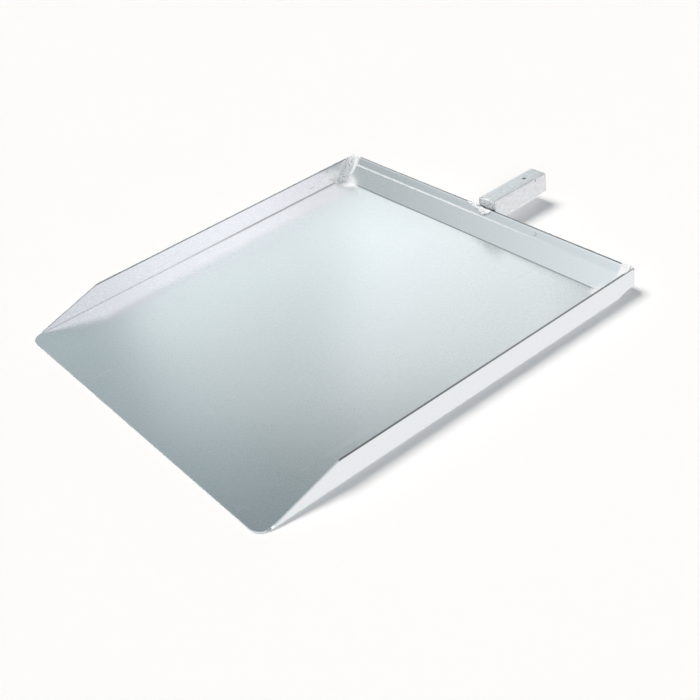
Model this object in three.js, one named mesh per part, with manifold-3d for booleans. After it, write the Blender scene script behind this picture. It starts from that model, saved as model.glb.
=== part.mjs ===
// Open-fronted aluminium pan for carrying wet plaster or mortar.
// One folded sheet makes the floor, two low side walls that slope away to nothing at the front, and a
// leaning back wall whose rim is folded down outside as a vertical flange. A short square tube is
// welded to that flange as the grip, and the two back corners are welded up on the inside.
//
// Millimetres, +Z up, +Y from the open front towards the grip, +X to the right of a user who looks
// along +Y. The origin is at the middle of the bottom of the whole object's box.

import * as THREE from "three";
import { mergeVertices } from "three/addons/utils/BufferGeometryUtils.js";
import Module from "manifold-3d";

// ---- driving dimensions -------------------------------------------------------------------------

const PAN_WIDTH = 485; // across the outsides of the side walls
const FLOOR_DEPTH = 476; // from the front edge to the fold of the back wall
const BACK_DEPTH = 30; // from that fold to the outside of the back flange
const WALL_HEIGHT = 27.5; // side walls and back rim, above the ground
const SHEET = 2; // sheet thickness
const BEND_RADIUS = 0.8; // inside radius of every fold

const FRONT_CORNER_RADIUS = 16; // rounded corners of the floor's front edge
const BACK_CORNER_RADIUS = 3.5; // back corners, ground round after welding
const LIP_START = 14; // where the side walls start to rise, behind the front edge
const LIP_END = 99; // where they reach their full height

const CREASE_RUN = 19.5; // the back wall steepens this far behind its fold
const CREASE_SLOPE = THREE.MathUtils.degToRad(46); // its slope above that crease
const FLANGE_CLEARANCE = 6; // height of the flange's lower edge above the ground
const TAIL = 4; // the side folds run on this far behind the floor
const TAIL_SLOPE_END = 16; // from there the walls' lower edges rise until this far behind the floor
const TAIL_SLOPE_HEIGHT = 5; // height of those edges where the steep part ends

const TUBE_SIZE = 25; // square tube of the grip
const TUBE_WALL = 2;
const TUBE_CORNER_RADIUS = 2;
const TUBE_LENGTH = 88; // from the flange to the open end
const TUBE_OFFSET = 16; // the grip sits a little right of the middle
const TUBE_RISE = 10.5; // its top face stands this far above the rim
const TUBE_HOLE_RADIUS = 2.5; // hole in the top face, for a hanging hook or a locking screw
const TUBE_HOLE_INSET = 24; // from the open end to the hole's centre

const WELD_GAP = 0.3; // a bead stays this far from the metal it joins
const CORNER_BEAD = 7; // legs of the beads in the back corners
const CORNER_BEAD_START = 1; // a corner bead starts this far behind the fold and above the floor
const TUBE_BEAD = 4.2; // legs of the beads round the grip
const RIM_STEPS = 6; // flats of the grip's top bead where it follows the rim
const RIM_BEAD_REACH = [1, 1.2]; // its lower edge lies this far behind and above the crease
const RIM_BEAD_THICKNESS = 2.4; // it stands this far off the back wall, along each of the two axes
const TOP_BEAD_DROP = 1.5; // its upper edge lies this far below the tube's top face
const TOP_BEAD_CHAMFER = [2, 0.6]; // slope of that edge, along and down
const TOP_BEAD_FACE = [2.6, 4]; // its front face starts this far before the flange and above the rim
const TOP_BEAD_TOE = [6, 2.5]; // and runs out over the rim to here

// ---- derived places -----------------------------------------------------------------------------

const OUTER_RADIUS = BEND_RADIUS + SHEET;
const HALF_WIDTH = PAN_WIDTH / 2;
const FLANGE_FACE = FLOOR_DEPTH + BACK_DEPTH;
const OVERALL_DEPTH = FLANGE_FACE + TUBE_LENGTH;
const TUBE_TOP = WALL_HEIGHT + TUBE_RISE;
const TUBE_BOTTOM = TUBE_TOP - TUBE_SIZE;

// ---- colours and finishes -----------------------------------------------------------------------

const SHEET_FINISH = { color: 0xc9ced0, roughness: 0.42, metalness: 1 };
const TUBE_FINISH = { color: 0xd2d6d8, roughness: 0.5, metalness: 1 };
const WELD_FINISH = { color: 0xe4e7e8, roughness: 0.3, metalness: 1 };

// ---- solids -------------------------------------------------------------------------------------

const wasm = await Module();
wasm.setup();

// A closed geometry as a solid that can be joined and cut.
function solidOf(geometry) {
  const bare = geometry.clone();
  bare.deleteAttribute("normal");
  bare.deleteAttribute("uv");
  const merged = mergeVertices(bare, 1e-4);
  return new wasm.Manifold(
    new wasm.Mesh({
      numProp: 3,
      vertProperties: merged.attributes.position.array,
      triVerts: new Uint32Array(merged.index.array),
    }),
  );
}

// A solid back as a flat-shaded geometry.
function geometryOf(solid) {
  const { vertProperties, triVerts } = solid.getMesh();
  const indexed = new THREE.BufferGeometry()
    .setAttribute("position", new THREE.BufferAttribute(vertProperties, 3))
    .setIndex(new THREE.BufferAttribute(triVerts, 1));
  const geometry = indexed.toNonIndexed();
  geometry.computeVertexNormals();
  return geometry;
}

function mesh(name, geometry, finish) {
  const made = new THREE.Mesh(geometry, new THREE.MeshStandardMaterial(finish));
  made.name = name;
  return made;
}

// A straight extrusion of a shape, from z = 0 to z = depth.
function extrude(shape, depth, curveSegments = 6) {
  return new THREE.ExtrudeGeometry(shape, { depth, curveSegments, bevelEnabled: false });
}

// A shape drawn in (x, height), carried along +Y from y = start.
function alongY(shape, start, length, curveSegments) {
  return extrude(shape, length, curveSegments).rotateX(Math.PI / 2).translate(0, start + length, 0);
}

// A shape drawn in (y, height), carried along +X from x = start.
function alongX(shape, start, length, curveSegments) {
  const turn = new THREE.Matrix4().makeBasis(
    new THREE.Vector3(0, 1, 0),
    new THREE.Vector3(0, 0, 1),
    new THREE.Vector3(1, 0, 0),
  );
  return extrude(shape, length, curveSegments).applyMatrix4(turn).translate(start, 0, 0);
}

function polygon(points) {
  return new THREE.Shape(points.map(([x, y]) => new THREE.Vector2(x, y)));
}

// The section of a folded sheet. Its middle line runs through the corners, each one rounded, and the
// two faces lie half a thickness to either side of that line.
function foldedSection(corners) {
  const steps = 4;
  const radius = BEND_RADIUS + SHEET / 2;
  const places = corners.map(([x, y]) => new THREE.Vector2(x, y));
  const left = [];
  const right = [];
  const put = (point, heading) => {
    const side = new THREE.Vector2(-Math.sin(heading), Math.cos(heading)).multiplyScalar(SHEET / 2);
    left.push(point.clone().add(side));
    right.push(point.clone().sub(side));
  };
  const headingOf = (a, b) => Math.atan2(b.y - a.y, b.x - a.x);
  put(places[0], headingOf(places[0], places[1]));
  for (let i = 1; i < places.length - 1; i++) {
    const incoming = headingOf(places[i - 1], places[i]);
    const turn = Math.atan2(
      Math.sin(headingOf(places[i], places[i + 1]) - incoming),
      Math.cos(headingOf(places[i], places[i + 1]) - incoming),
    );
    const hand = Math.sign(turn);
    const tangent = radius * Math.tan(Math.abs(turn) / 2);
    const centre = places[i]
      .clone()
      .sub(new THREE.Vector2(Math.cos(incoming), Math.sin(incoming)).multiplyScalar(tangent))
      .add(new THREE.Vector2(-Math.sin(incoming), Math.cos(incoming)).multiplyScalar(hand * radius));
    for (let k = 0; k <= steps; k++) {
      const heading = incoming + (turn * k) / steps;
      const spoke = new THREE.Vector2(Math.sin(heading), -Math.cos(heading));
      put(centre.clone().add(spoke.multiplyScalar(hand * radius)), heading);
    }
  }
  const last = places.length - 1;
  put(places[last], headingOf(places[last - 1], places[last]));
  return new THREE.Shape([...left, ...right.reverse()]);
}

// What is cut away outside a rounded corner of the plan. The corner is at (x, y), and the metal lies
// from it towards (inX, inY), each 1 or -1.
function cornerWaste(x, y, inX, inY, radius) {
  const steps = 8;
  const past = 1;
  const points = [
    [x - inX * past, y + inY * radius],
    [x - inX * past, y - inY * past],
    [x + inX * radius, y - inY * past],
  ];
  for (let k = 0; k <= steps; k++) {
    const turn = (Math.PI / 2) * (k / steps);
    points.push([
      x + inX * radius * (1 - Math.sin(turn)),
      y + inY * radius * (1 - Math.cos(turn)),
    ]);
  }
  return extrude(polygon(points), WALL_HEIGHT + 2 * past).translate(0, 0, -past);
}

// ---- the folded sheet ---------------------------------------------------------------------------

// Floor and both side walls, as one U section carried from the front edge to just behind the floor.
function trough() {
  const side = HALF_WIDTH - SHEET / 2;
  const section = foldedSection([
    [-side, WALL_HEIGHT],
    [-side, SHEET / 2],
    [side, SHEET / 2],
    [side, WALL_HEIGHT],
  ]);
  return solidOf(alongY(section, 0, FLOOR_DEPTH + TAIL));
}

// The floor ends at the back fold, while the side folds run on a little further.
function behindTheFloor() {
  const between = PAN_WIDTH - 2 * OUTER_RADIUS;
  const box = new THREE.BoxGeometry(between, 2 * TAIL, 2 * OUTER_RADIUS);
  return solidOf(box.translate(0, FLOOR_DEPTH + TAIL, 0));
}

// Where the middle of the sheet turns on its way up the back wall and down the flange, as (y, height).
function backWallCorners() {
  const start = [FLOOR_DEPTH - TAIL, SHEET / 2];
  const fold = [FLOOR_DEPTH + (SHEET / 2) * Math.tan(CREASE_SLOPE / 2), SHEET / 2];
  const rimTurn = Math.PI / 2 + CREASE_SLOPE;
  const rimY = FLANGE_FACE - SHEET / 2;
  const rimTop = WALL_HEIGHT - OUTER_RADIUS;
  const rim = [rimY, rimTop + (BEND_RADIUS + SHEET / 2) * Math.tan(rimTurn / 2)];
  const creaseY = FLOOR_DEPTH + CREASE_RUN;
  const crease = [creaseY, rim[1] - (rimY - creaseY) * Math.tan(CREASE_SLOPE)];
  return [start, fold, crease, rim, [rimY, FLANGE_CLEARANCE]];
}

function backWall() {
  const between = PAN_WIDTH - 2 * SHEET;
  return solidOf(alongX(foldedSection(backWallCorners()), -between / 2, between));
}

// The flange alone, over the pan's whole width: it covers the ends of the side walls.
function flangeOverWallEnds() {
  const top = WALL_HEIGHT - OUTER_RADIUS;
  const box = new THREE.BoxGeometry(PAN_WIDTH, SHEET, top - FLANGE_CLEARANCE);
  return solidOf(box.translate(0, FLANGE_FACE - SHEET / 2, (top + FLANGE_CLEARANCE) / 2));
}

// The part of a side wall that reaches back from the floor to the flange.
function wallEnd(x) {
  const outline = polygon([
    [FLOOR_DEPTH, WALL_HEIGHT],
    [FLOOR_DEPTH, OUTER_RADIUS],
    [FLOOR_DEPTH + TAIL, OUTER_RADIUS],
    [FLOOR_DEPTH + TAIL_SLOPE_END, TAIL_SLOPE_HEIGHT],
    [FLANGE_FACE - SHEET / 2, FLANGE_CLEARANCE],
    [FLANGE_FACE - SHEET / 2, WALL_HEIGHT - SHEET],
    [FLANGE_FACE - SHEET, WALL_HEIGHT],
  ]);
  return solidOf(alongX(outline, x - SHEET / 2, SHEET));
}

// Everything above the sloping front ends of the side walls.
function aboveTheLip() {
  const past = 5;
  const foot = SHEET + 0.2;
  const outline = polygon([
    [-past, foot],
    [LIP_START, foot],
    [LIP_END, WALL_HEIGHT],
    [LIP_END, WALL_HEIGHT + past],
    [-past, WALL_HEIGHT + past],
  ]);
  return solidOf(alongX(outline, -HALF_WIDTH - past, PAN_WIDTH + 2 * past));
}

function panSheet() {
  let sheet = trough().subtract(behindTheFloor()).add(backWall()).add(flangeOverWallEnds());
  const middleOfWall = HALF_WIDTH - SHEET / 2;
  sheet = sheet.add(wallEnd(-middleOfWall)).add(wallEnd(middleOfWall)).subtract(aboveTheLip());
  for (const side of [-1, 1]) {
    const edge = side * HALF_WIDTH;
    sheet = sheet.subtract(solidOf(cornerWaste(edge, 0, -side, 1, FRONT_CORNER_RADIUS)));
    sheet = sheet.subtract(solidOf(cornerWaste(edge, FLANGE_FACE, -side, -1, BACK_CORNER_RADIUS)));
  }
  return mesh("pan_sheet", geometryOf(sheet), SHEET_FINISH);
}

// ---- the grip -----------------------------------------------------------------------------------

// A square with rounded corners, centred on the origin.
function roundedSquare(size, radius, kind) {
  const half = size / 2;
  const inner = half - radius;
  const outline = new kind();
  outline.moveTo(half, -inner);
  outline.lineTo(half, inner);
  outline.absarc(inner, inner, radius, 0, Math.PI / 2);
  outline.lineTo(-inner, half);
  outline.absarc(-inner, inner, radius, Math.PI / 2, Math.PI);
  outline.lineTo(-half, -inner);
  outline.absarc(-inner, -inner, radius, Math.PI, Math.PI * 1.5);
  outline.lineTo(inner, -half);
  outline.absarc(inner, -inner, radius, Math.PI * 1.5, Math.PI * 2);
  return outline;
}

function handleTube() {
  const section = roundedSquare(TUBE_SIZE, TUBE_CORNER_RADIUS, THREE.Shape);
  const bore = TUBE_SIZE - 2 * TUBE_WALL;
  section.holes.push(roundedSquare(bore, TUBE_CORNER_RADIUS / 2, THREE.Path));
  const centre = [TUBE_OFFSET, 0, TUBE_TOP - TUBE_SIZE / 2];
  const tube = alongY(section, FLANGE_FACE + WELD_GAP, TUBE_LENGTH - WELD_GAP, 4).translate(...centre);
  const drill = new THREE.CylinderGeometry(TUBE_HOLE_RADIUS, TUBE_HOLE_RADIUS, 3 * TUBE_WALL, 24);
  drill.rotateX(Math.PI / 2).translate(TUBE_OFFSET, OVERALL_DEPTH - TUBE_HOLE_INSET, TUBE_TOP);
  return mesh("handle_tube", geometryOf(solidOf(tube).subtract(solidOf(drill))), TUBE_FINISH);
}

// ---- weld beads ---------------------------------------------------------------------------------

// The section of a bead in a right-angled corner: two legs, and a face that bulges between them.
function beadSection(leg, hand = 1) {
  const steps = 6;
  const bulge = 0.12;
  const points = [[0, 0]];
  for (let k = 0; k <= steps; k++) {
    const t = k / steps;
    const out = 1 + bulge * Math.sin(Math.PI * t);
    points.push([hand * leg * (1 - t) * out, leg * t * out]);
  }
  return polygon(points);
}

// The bead up a back corner, between a side wall and the leaning back wall. side is -1 or 1. It runs
// straight from the floor's corner to the rim, along the chord of the creased wall, and is dressed
// level with the rim at its top.
function cornerWeld(name, side) {
  const [, , crease, rim] = backWallCorners();
  const start = new THREE.Vector2(FLOOR_DEPTH + CORNER_BEAD_START, SHEET + CORNER_BEAD_START);
  const rimFace = rim[0] - OUTER_RADIUS - SHEET;
  const rimHeight = crease[1] + (rimFace - crease[0]) * Math.tan(CREASE_SLOPE);
  const across = new THREE.Vector2(-Math.sin(CREASE_SLOPE), Math.cos(CREASE_SLOPE));
  const end = new THREE.Vector2(rimFace, rimHeight).add(across.multiplyScalar(SHEET / 2));
  const run = end.clone().sub(start);
  const along = new THREE.Vector3(0, run.x, run.y).normalize();
  const up = new THREE.Vector3(0, -along.z, along.y);
  const right = new THREE.Vector3().crossVectors(up, along);
  const lift = up.clone().multiplyScalar(WELD_GAP);
  const place = new THREE.Matrix4().makeBasis(right, up, along);
  place.setPosition(side * (HALF_WIDTH - SHEET - WELD_GAP), start.x + lift.y, start.y + lift.z);
  const bead = extrude(beadSection(CORNER_BEAD, side), run.length()).applyMatrix4(place);
  const aboveRim = new THREE.BoxGeometry(PAN_WIDTH, 4 * BACK_DEPTH, 2 * WALL_HEIGHT);
  aboveRim.translate(0, FLANGE_FACE, 2 * WALL_HEIGHT);
  return mesh(name, geometryOf(solidOf(bead).subtract(solidOf(aboveRim))), WELD_FINISH);
}

// The bead that closes the tube's front end above the rim and runs over the rim onto the back wall.
function handleTopWeld() {
  const [, , crease] = backWallCorners();
  const rimCentre = [FLANGE_FACE - OUTER_RADIUS, WALL_HEIGHT - OUTER_RADIUS];
  const reach = OUTER_RADIUS + WELD_GAP;
  const from = Math.PI / 2 + CREASE_SLOPE;
  const to = Math.PI / 4;
  const points = [];
  const normal = [-Math.sin(CREASE_SLOPE), Math.cos(CREASE_SLOPE)];
  const offset = SHEET / 2 + WELD_GAP;
  const foot = [0, 1].map((axis) => crease[axis] + RIM_BEAD_REACH[axis] + normal[axis] * offset);
  points.push(foot);
  for (let k = 0; k <= RIM_STEPS; k++) {
    const angle = from + ((to - from) * k) / RIM_STEPS;
    points.push([
      rimCentre[0] + reach * Math.cos(angle),
      rimCentre[1] + reach * Math.sin(angle),
    ]);
  }
  const faceHeight = TUBE_TOP - TOP_BEAD_DROP;
  points.push([FLANGE_FACE, points[points.length - 1][1]]);
  points.push([FLANGE_FACE, faceHeight]);
  points.push([FLANGE_FACE - TOP_BEAD_CHAMFER[0], faceHeight - TOP_BEAD_CHAMFER[1]]);
  points.push([FLANGE_FACE - TOP_BEAD_FACE[0], WALL_HEIGHT + TOP_BEAD_FACE[1]]);
  points.push([FLANGE_FACE - TOP_BEAD_TOE[0], WALL_HEIGHT + TOP_BEAD_TOE[1]]);
  points.push([foot[0] - RIM_BEAD_THICKNESS, foot[1] + RIM_BEAD_THICKNESS]);
  const width = TUBE_SIZE - 1;
  const bead = alongX(polygon(points), TUBE_OFFSET - width / 2, width);
  return mesh("handle_top_weld", bead, WELD_FINISH);
}

// The upright bead beside the tube, against the flange. side is -1 or 1.
function handleSideWeld(name, side) {
  const length = WALL_HEIGHT - OUTER_RADIUS - TUBE_BOTTOM;
  const bead = extrude(beadSection(TUBE_BEAD, side), length);
  const made = mesh(name, bead, WELD_FINISH);
  const x = TUBE_OFFSET + side * (TUBE_SIZE / 2 + WELD_GAP);
  made.position.set(x, FLANGE_FACE + WELD_GAP, TUBE_BOTTOM);
  return made;
}

// The bead under the tube, against the flange.
function handleBottomWeld() {
  const width = TUBE_SIZE - 2 * TUBE_CORNER_RADIUS;
  const bead = alongX(beadSection(-TUBE_BEAD, -1), TUBE_OFFSET - width / 2, width);
  const made = mesh("handle_bottom_weld", bead, WELD_FINISH);
  made.position.set(0, FLANGE_FACE + WELD_GAP, TUBE_BOTTOM - WELD_GAP);
  return made;
}

// ---- the whole object ---------------------------------------------------------------------------

const pan = new THREE.Group();
pan.add(panSheet());
pan.add(cornerWeld("back_left_corner_weld", -1), cornerWeld("back_right_corner_weld", 1));

const grip = new THREE.Group();
grip.add(handleTube(), handleTopWeld(), handleBottomWeld());
grip.add(handleSideWeld("handle_left_weld", -1), handleSideWeld("handle_right_weld", 1));

const whole = new THREE.Group();
whole.add(pan, grip);
whole.position.y = -OVERALL_DEPTH / 2;

const mudPan = new THREE.Group();
mudPan.add(whole);

export default mudPan;
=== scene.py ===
"""Looks of an open-fronted aluminium mud pan: one folded sheet, a welded square-tube grip and its weld beads.

Metres, +Z up, +Y from the open front edge towards the grip, +X to the right. Every new piece is a surface
worked out with numpy in the frame of the packed model, so its place is in its mesh.
"""

import math

import bmesh
import bpy
import numpy as np
from mathutils import Matrix, Vector


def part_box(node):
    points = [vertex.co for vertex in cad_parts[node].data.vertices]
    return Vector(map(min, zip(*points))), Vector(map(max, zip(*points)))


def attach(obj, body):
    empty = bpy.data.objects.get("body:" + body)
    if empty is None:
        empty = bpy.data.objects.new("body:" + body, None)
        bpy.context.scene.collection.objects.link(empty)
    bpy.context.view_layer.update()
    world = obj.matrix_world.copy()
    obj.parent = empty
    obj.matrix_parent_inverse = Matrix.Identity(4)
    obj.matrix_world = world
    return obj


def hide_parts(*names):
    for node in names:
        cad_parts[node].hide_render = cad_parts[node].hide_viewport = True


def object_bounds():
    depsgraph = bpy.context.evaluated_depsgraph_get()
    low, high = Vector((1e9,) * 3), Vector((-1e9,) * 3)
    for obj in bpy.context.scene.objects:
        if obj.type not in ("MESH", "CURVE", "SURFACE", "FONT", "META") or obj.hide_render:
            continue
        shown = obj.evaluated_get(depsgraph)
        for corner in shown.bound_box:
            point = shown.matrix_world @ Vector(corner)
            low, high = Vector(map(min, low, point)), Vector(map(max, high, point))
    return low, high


bl_info = {
    "name": "Mud Pan",
    "version": (1, 0, 0),
    "blender": (4, 5, 0),
    "location": "3D View > Sidebar > Mud Pan",
    "description": "Folded aluminium mud pan with a welded square-tube grip",
    "category": "Mesh",
}

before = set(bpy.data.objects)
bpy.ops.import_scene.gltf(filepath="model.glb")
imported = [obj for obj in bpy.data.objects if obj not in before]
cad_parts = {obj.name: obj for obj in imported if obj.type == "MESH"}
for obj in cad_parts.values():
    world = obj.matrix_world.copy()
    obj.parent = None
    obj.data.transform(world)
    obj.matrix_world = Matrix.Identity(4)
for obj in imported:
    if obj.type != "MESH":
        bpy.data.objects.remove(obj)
CAD_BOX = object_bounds()

MM = 0.001
SHARP_ANGLE = math.radians(40)  # edges that turn more than this stay crisp

PAN_LOW, PAN_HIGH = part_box("pan_sheet")
TUBE_LOW, TUBE_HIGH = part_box("handle_tube")


# ---- sizes, colours and light that a user would change -------------------------------------------


def length(name, description, millimetres):
    return bpy.props.FloatProperty(
        name=name, description=description, default=millimetres * MM, min=0.0, unit="LENGTH", precision=5
    )


def angle(name, description, degrees):
    return bpy.props.FloatProperty(
        name=name, description=description, default=math.radians(degrees), subtype="ANGLE"
    )


def colour(name, description, red, green, blue):
    return bpy.props.FloatVectorProperty(
        name=name, description=description, default=(red, green, blue), subtype="COLOR", size=3,
        min=0.0, max=4.0,
    )


def amount(name, description, default, high=10.0):
    return bpy.props.FloatProperty(name=name, description=description, default=default, min=0.0, max=high)


class SheetSettings(bpy.types.PropertyGroup):
    """Sizes and finish of the folded sheet."""

    thickness: length("Thickness", "Thickness of the sheet", 2.0)
    fold_radius: length("Fold radius", "Inside radius of every fold", 0.8)
    front_corner: length("Front corner radius", "Rounding of the floor's two front corners", 16.0)
    back_corner: length("Back corner radius", "Rounding of the rim's two back corners", 3.5)
    lip_start: length("Lip start", "Where the side walls start to rise, behind the front edge", 14.0)
    lip_end: length("Lip end", "Where the side walls reach their full height, behind the front edge", 99.0)
    back_depth: length("Back depth", "From the back fold to the outside of the flange", 30.0)
    crease_run: length("Crease run", "From the back fold to the crease of the back wall", 19.5)
    crease_slope: angle("Crease slope", "Slope of the back wall above its crease", 46.0)
    flange_clearance: length("Flange clearance", "Height of the flange's lower edge", 6.0)
    waviness: length("Waviness", "Slight hollows and swells of the flat floor", 0.06)
    tint: colour("Colour", "Colour of the rolled aluminium", 0.86, 0.885, 0.895)
    roughness: amount("Roughness", "Roughness of the satin face", 0.28, 1.0)


class GripSettings(bpy.types.PropertyGroup):
    """Sizes and finish of the grip tube."""

    wall: length("Wall", "Wall of the square tube", 2.0)
    corner: length("Corner radius", "Outside rounding of the tube's long edges", 2.0)
    rim_softness: length("Rim softness", "Rounding of the sawn ends", 0.35)
    hole_radius: length("Hole radius", "Radius of the hole in the top face", 2.5)
    hole_inset: length("Hole inset", "From the open end to the middle of the hole", 24.0)
    tint: colour("Colour", "Colour of the extruded aluminium", 0.86, 0.88, 0.89)
    roughness: amount("Roughness", "Roughness of the extruded face", 0.44, 1.0)


class WeldSettings(bpy.types.PropertyGroup):
    """Sizes and finish of the weld beads."""

    corner_width: length("Corner bead width", "Width of the beads in the back corners", 12.6)
    ring_radius: length("Ring radius", "Half the width of the bead round the tube's end", 1.5)
    rim_radius: length("Rim bead radius", "Half the width of the bead over the rim", 3.2)
    side_radius: length("Side bead radius", "Half the width of the beads against the flange", 2.9)
    ripple_pitch: length("Ripple pitch", "From one ripple of a bead to the next", 2.1)
    ripple_height: amount("Ripple height", "Height of the ripples as a part of the bead's radius", 0.10, 1.0)
    tint: colour("Colour", "Colour of the bright weld metal", 0.93, 0.94, 0.945)
    roughness: amount("Roughness", "Roughness of the weld metal", 0.38, 1.0)


class StageSettings(bpy.types.PropertyGroup):
    """Floor, light and camera."""

    floor_tint: colour("Floor", "Colour of the plain floor", 0.93, 0.93, 0.93)
    floor_size: length("Floor size", "Side of the square floor", 9000.0)
    below_light: colour("Light from below", "What the metal mirrors below the horizon", 0.96, 0.955, 0.96)
    key_tint: colour("Key colour", "Colour of the soft key light", 1.0, 0.955, 0.93)
    key_strength: amount("Key strength", "Strength of the soft key light on the floor", 2.66, 100.0)
    key_azimuth: angle("Key azimuth", "Direction of the key light, from +Y towards +X", -95.0)
    key_elevation: angle("Key elevation", "Height of the key light", 60.0)
    key_spread: angle("Key spread", "Apparent size of the key light, which softens its shadow", 28.0)
    fill_tint: colour("Fill colour", "Colour of the light from overhead", 0.94, 1.0, 1.02)
    fill_strength: amount("Fill strength", "Strength of the light from overhead on the floor", 0.46, 100.0)
    front_strength: amount("Front strength", "Strength of the light from the front", 1.1, 100.0)
    backdrop_radius: length("Backdrop radius", "Radius of the pale backdrop", 4400.0)
    lens: amount("Lens", "Focal length in millimetres on a 36 mm sensor", 58.08, 500.0)
    distance: length("Distance", "From the camera to the point that it looks at", 1218.3)
    azimuth: angle("Azimuth", "Turn of the camera round the pan", 57.86)
    elevation: angle("Elevation", "Height of the camera above the pan", 34.93)
    roll: angle("Roll", "Lean of the camera round its own axis", -11.22)


SETTINGS = {
    "mud_pan_sheet": SheetSettings,
    "mud_pan_grip": GripSettings,
    "mud_pan_weld": WeldSettings,
    "mud_pan_stage": StageSettings,
}


# ---- meshes --------------------------------------------------------------------------------------


def put_piece(name, points, quads, triangles=()):
    """A smooth-shaded object from an array of points and arrays of corner numbers."""
    mesh = bpy.data.meshes.new(name)
    faces = quads.tolist() + np.asarray(triangles, int).reshape(-1, 3).tolist()
    mesh.from_pydata(points.tolist(), [], faces)
    mesh.validate()
    mesh.shade_smooth()
    piece = bpy.data.objects.new(name, mesh)
    bpy.context.scene.collection.objects.link(piece)
    return piece


def grid_quads(numbers):
    """The quads of a grid of point numbers: each joins a number to those beside, across and below it."""
    corners = [numbers[:-1, :-1], numbers[:-1, 1:], numbers[1:, 1:], numbers[1:, :-1]]
    return np.stack(corners, -1).reshape(-1, 4)


def wrapped(numbers, axis):
    """The grid of point numbers with its first line repeated after its last, so that it closes."""
    return np.concatenate([numbers, np.take(numbers, [0], axis)], axis)


def facing_out(points, quads, triangles):
    """The faces with their order turned round where the closed shell's signed volume is negative."""
    corners = np.concatenate([quads[:, [0, 1, 2]], quads[:, [0, 2, 3]], triangles])
    a, b, c = (points[corners[:, k]] for k in range(3))
    if np.einsum("ij,ij->i", a, np.cross(b, c)).sum() < 0:
        return quads[:, ::-1], triangles[:, ::-1]
    return quads, triangles


def shell_from_rings(rings):
    """A closed shell from rings of points along a path, with a fan to one point at each end."""
    count, around = rings.shape[:2]
    numbers = np.arange(count * around).reshape(count, around)
    points = np.concatenate([rings.reshape(-1, 3), rings[0].mean(0)[None], rings[-1].mean(0)[None]])
    quads = grid_quads(wrapped(numbers, 1))
    first, last = wrapped(numbers, 1)[0], wrapped(numbers, 1)[-1]
    start, end = np.full(around, count * around), np.full(around, count * around + 1)
    triangles = np.concatenate([
        np.stack([start, first[1:], first[:-1]], 1),
        np.stack([end, last[:-1], last[1:]], 1),
    ])
    return (points, *facing_out(points, quads, triangles))


def joined(shells):
    """Several shells as one set of points, quads and triangles."""
    starts = np.cumsum([0] + [len(points) for points, _, _ in shells[:-1]])
    points = np.concatenate([points for points, _, _ in shells])
    quads = np.concatenate([quads + start for (_, quads, _), start in zip(shells, starts)])
    triangles = np.concatenate([triangles + start for (_, _, triangles), start in zip(shells, starts)])
    return points, quads, triangles


def swell(points, wavelength, seed):
    """Soft noise: 1.8 times the mean of nine sine waves with fixed random headings and phases."""
    draw = np.random.default_rng(seed)
    headings = draw.normal(size=(9, 3))
    headings /= np.linalg.norm(headings, axis=1, keepdims=True)
    pitches = draw.uniform(0.6, 1.6, 9)
    phases = draw.uniform(0, 2 * np.pi, 9)
    turns = 2 * np.pi / wavelength * (points @ headings.T) * pitches + phases
    return np.sin(turns).mean(-1) * 1.8


def smooth_step(value, low, high):
    """0 below low, 1 above high, and 3t squared less 2t cubed between them."""
    t = np.clip((value - low) / (high - low), 0, 1)
    return t * t * (3 - 2 * t)


def use_finish(piece, material, slot, *nodes):
    """Gives a piece its material, and puts it in the place of its CAD nodes. The slot is not used."""
    piece.data.materials.append(material)
    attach(piece, "root")
    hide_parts(*nodes)


# ---- the folded sheet ----------------------------------------------------------------------------

# Cells of the grid across the pan, on each side of its middle floor.
FLAT_STEPS = 7
ARC_STEPS = 8
WALL_STEPS = 8
SIDE_CELLS = ARC_STEPS + WALL_STEPS
FLOOR_POINTS = 41  # places across the middle floor

# Cells along the back wall's profile: its three arcs, and the straight runs before, between and after.
BACK_ARC_STEPS = (6, 2, 16)
BACK_STRAIGHT_STEPS = (0, 12, 6, 6)

TAIL = 4.2 * MM  # the side folds run on this far behind the floor
FLANGE_SETBACK = 2.3 * MM  # the side walls end this far before the flange's outside
# Lower edge of the side walls behind the floor's fold: distances and heights.
TAIL_PLACES = (0, 4.2 * MM, 4.5 * MM, 16 * MM, 30 * MM)
TAIL_HEIGHTS = (1.0 * MM, 1.0 * MM, 2.8 * MM, 5 * MM, 6 * MM)


class SheetPlan:
    """The middle surface of the sheet. Its blank is measured from the middle line, as the run across."""

    def __init__(self, settings):
        half = settings.thickness / 2
        self.middle = half
        self.radius = settings.fold_radius + half
        self.settings = settings
        self.front = PAN_LOW.y
        self.top = PAN_HIGH.z
        self.wall_x = PAN_HIGH.x - half
        self.fold_start = self.wall_x - self.radius
        self.fold_end = self.fold_start + self.radius * math.pi / 2
        self.full_run = self.fold_end + self.top - half - self.radius
        self.lip_from = self.front + settings.lip_start
        self.lip_to = self.front + settings.lip_end

    def across(self, run):
        """Place across and height at a signed run: flat, then an arc of the fold, then straight up."""
        size = np.abs(run)
        turn = np.clip((size - self.fold_start) / self.radius, 0, math.pi / 2)
        up = np.maximum(size - self.fold_end, 0)
        x = np.minimum(size, self.fold_start) + self.radius * np.sin(turn)
        return np.sign(run) * x, self.middle + self.radius * (1 - np.cos(turn)) + up

    def run_at_height(self, height):
        """The run at which the middle surface reaches a height: the arc's inverse, then the straight's."""
        rise = np.clip((height - self.middle) / self.radius, 0, 1)
        on_arc = self.fold_start + self.radius * np.arccos(1 - rise)
        return on_arc + np.maximum(height - self.middle - self.radius, 0)

    def edge_run(self, y):
        """The run of the sheet's side edge: a low stub in front, a straight slope, and then the full wall."""
        stub = self.settings.thickness * 1.1
        rise = np.clip((y - self.lip_from) / (self.lip_to - self.lip_from), 0, 1)
        return self.run_at_height(stub + (self.top - stub) * rise)


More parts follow.
